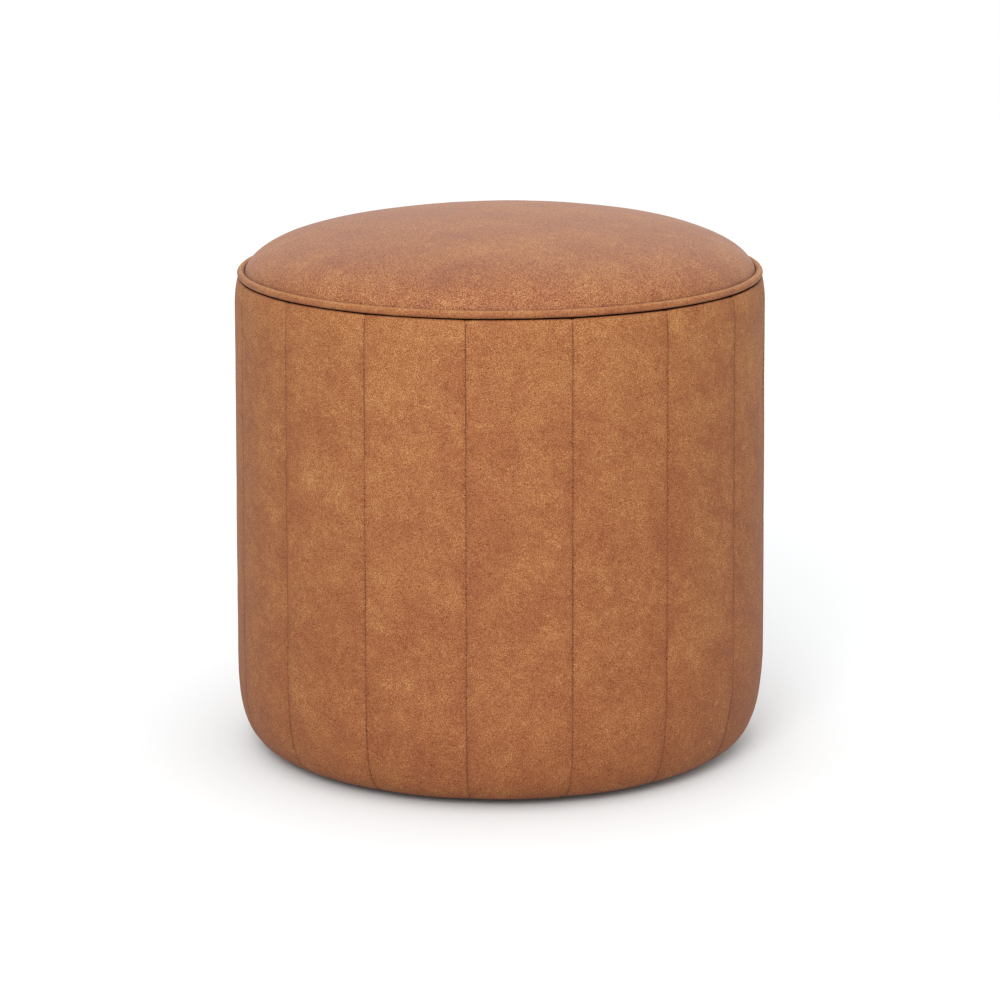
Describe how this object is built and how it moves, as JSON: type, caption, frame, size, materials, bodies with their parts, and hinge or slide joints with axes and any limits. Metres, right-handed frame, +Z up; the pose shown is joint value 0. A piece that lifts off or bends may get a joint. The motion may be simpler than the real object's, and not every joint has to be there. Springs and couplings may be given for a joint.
{
  "type": "round leather pouf",
  "caption": "Drum-shaped upholstered pouf with a crowned seat, piped top edge and vertically panelled tan leather side, used as a stool or footrest.",
  "frame": {"origin": "on the floor, under the centre of the drum, at the centre of the bottom of its bounding box", "axes": "+Z up along the drum's axis, -Y towards the front that the picture shows, +X to the right seen from the front"},
  "size_m": [0.464, 0.464, 0.469],
  "materials": {
    "side_leather": "matte",
    "top_leather": "matte",
    "piping_leather": "matte",
    "piping_cord": "matte",
    "pine": "matte",
    "plywood": "matte",
    "fibreboard": "matte",
    "wood_screws": "satin",
    "staples": "satin",
    "foam": "matte",
    "wadding": "matte",
    "thread": "satin",
    "dust_cover": "matte",
    "glides": "satin",
    "glide_screws": "satin"
  },
  "bodies": {
    "root": {"bottom_board": "plywood", "top_board": "plywood", "post_1": "pine", "post_2": "pine", "post_3": "pine", "post_4": "pine", "post_5": "pine", "post_6": "pine", "side_shell": "fibreboard", "shell_joint_strip": "fibreboard", "top_board_screws": "wood_screws", "bottom_board_screws": "wood_screws", "shell_staples": "staples", "side_foam": "foam", "side_wadding": "wadding", "seat_foam": "foam", "seat_wadding": "wadding", "top_cover": "top_leather", "piping": "piping_leather", "piping_cord": "piping_cord", "side_panel_1": "side_leather", "side_panel_2": "side_leather", "side_panel_3": "side_leather", "side_panel_4": "side_leather", "side_panel_5": "side_leather", "side_panel_6": "side_leather", "side_panel_7": "side_leather", "side_panel_8": "side_leather", "side_panel_9": "side_leather", "side_panel_10": "side_leather", "side_panel_11": "side_leather", "side_panel_12": "side_leather", "side_panel_13": "side_leather", "side_panel_14": "side_leather", "side_panel_15": "side_leather", "side_panel_16": "side_leather", "side_seam_threads": "thread", "welt_thread": "thread", "cover_staples": "staples", "dust_cover": "dust_cover", "dust_cover_staples": "staples", "glide_1": "glides", "glide_2": "glides", "glide_3": "glides", "glide_4": "glides", "glide_screws": "glide_screws"}
  },
  "joints": []
}
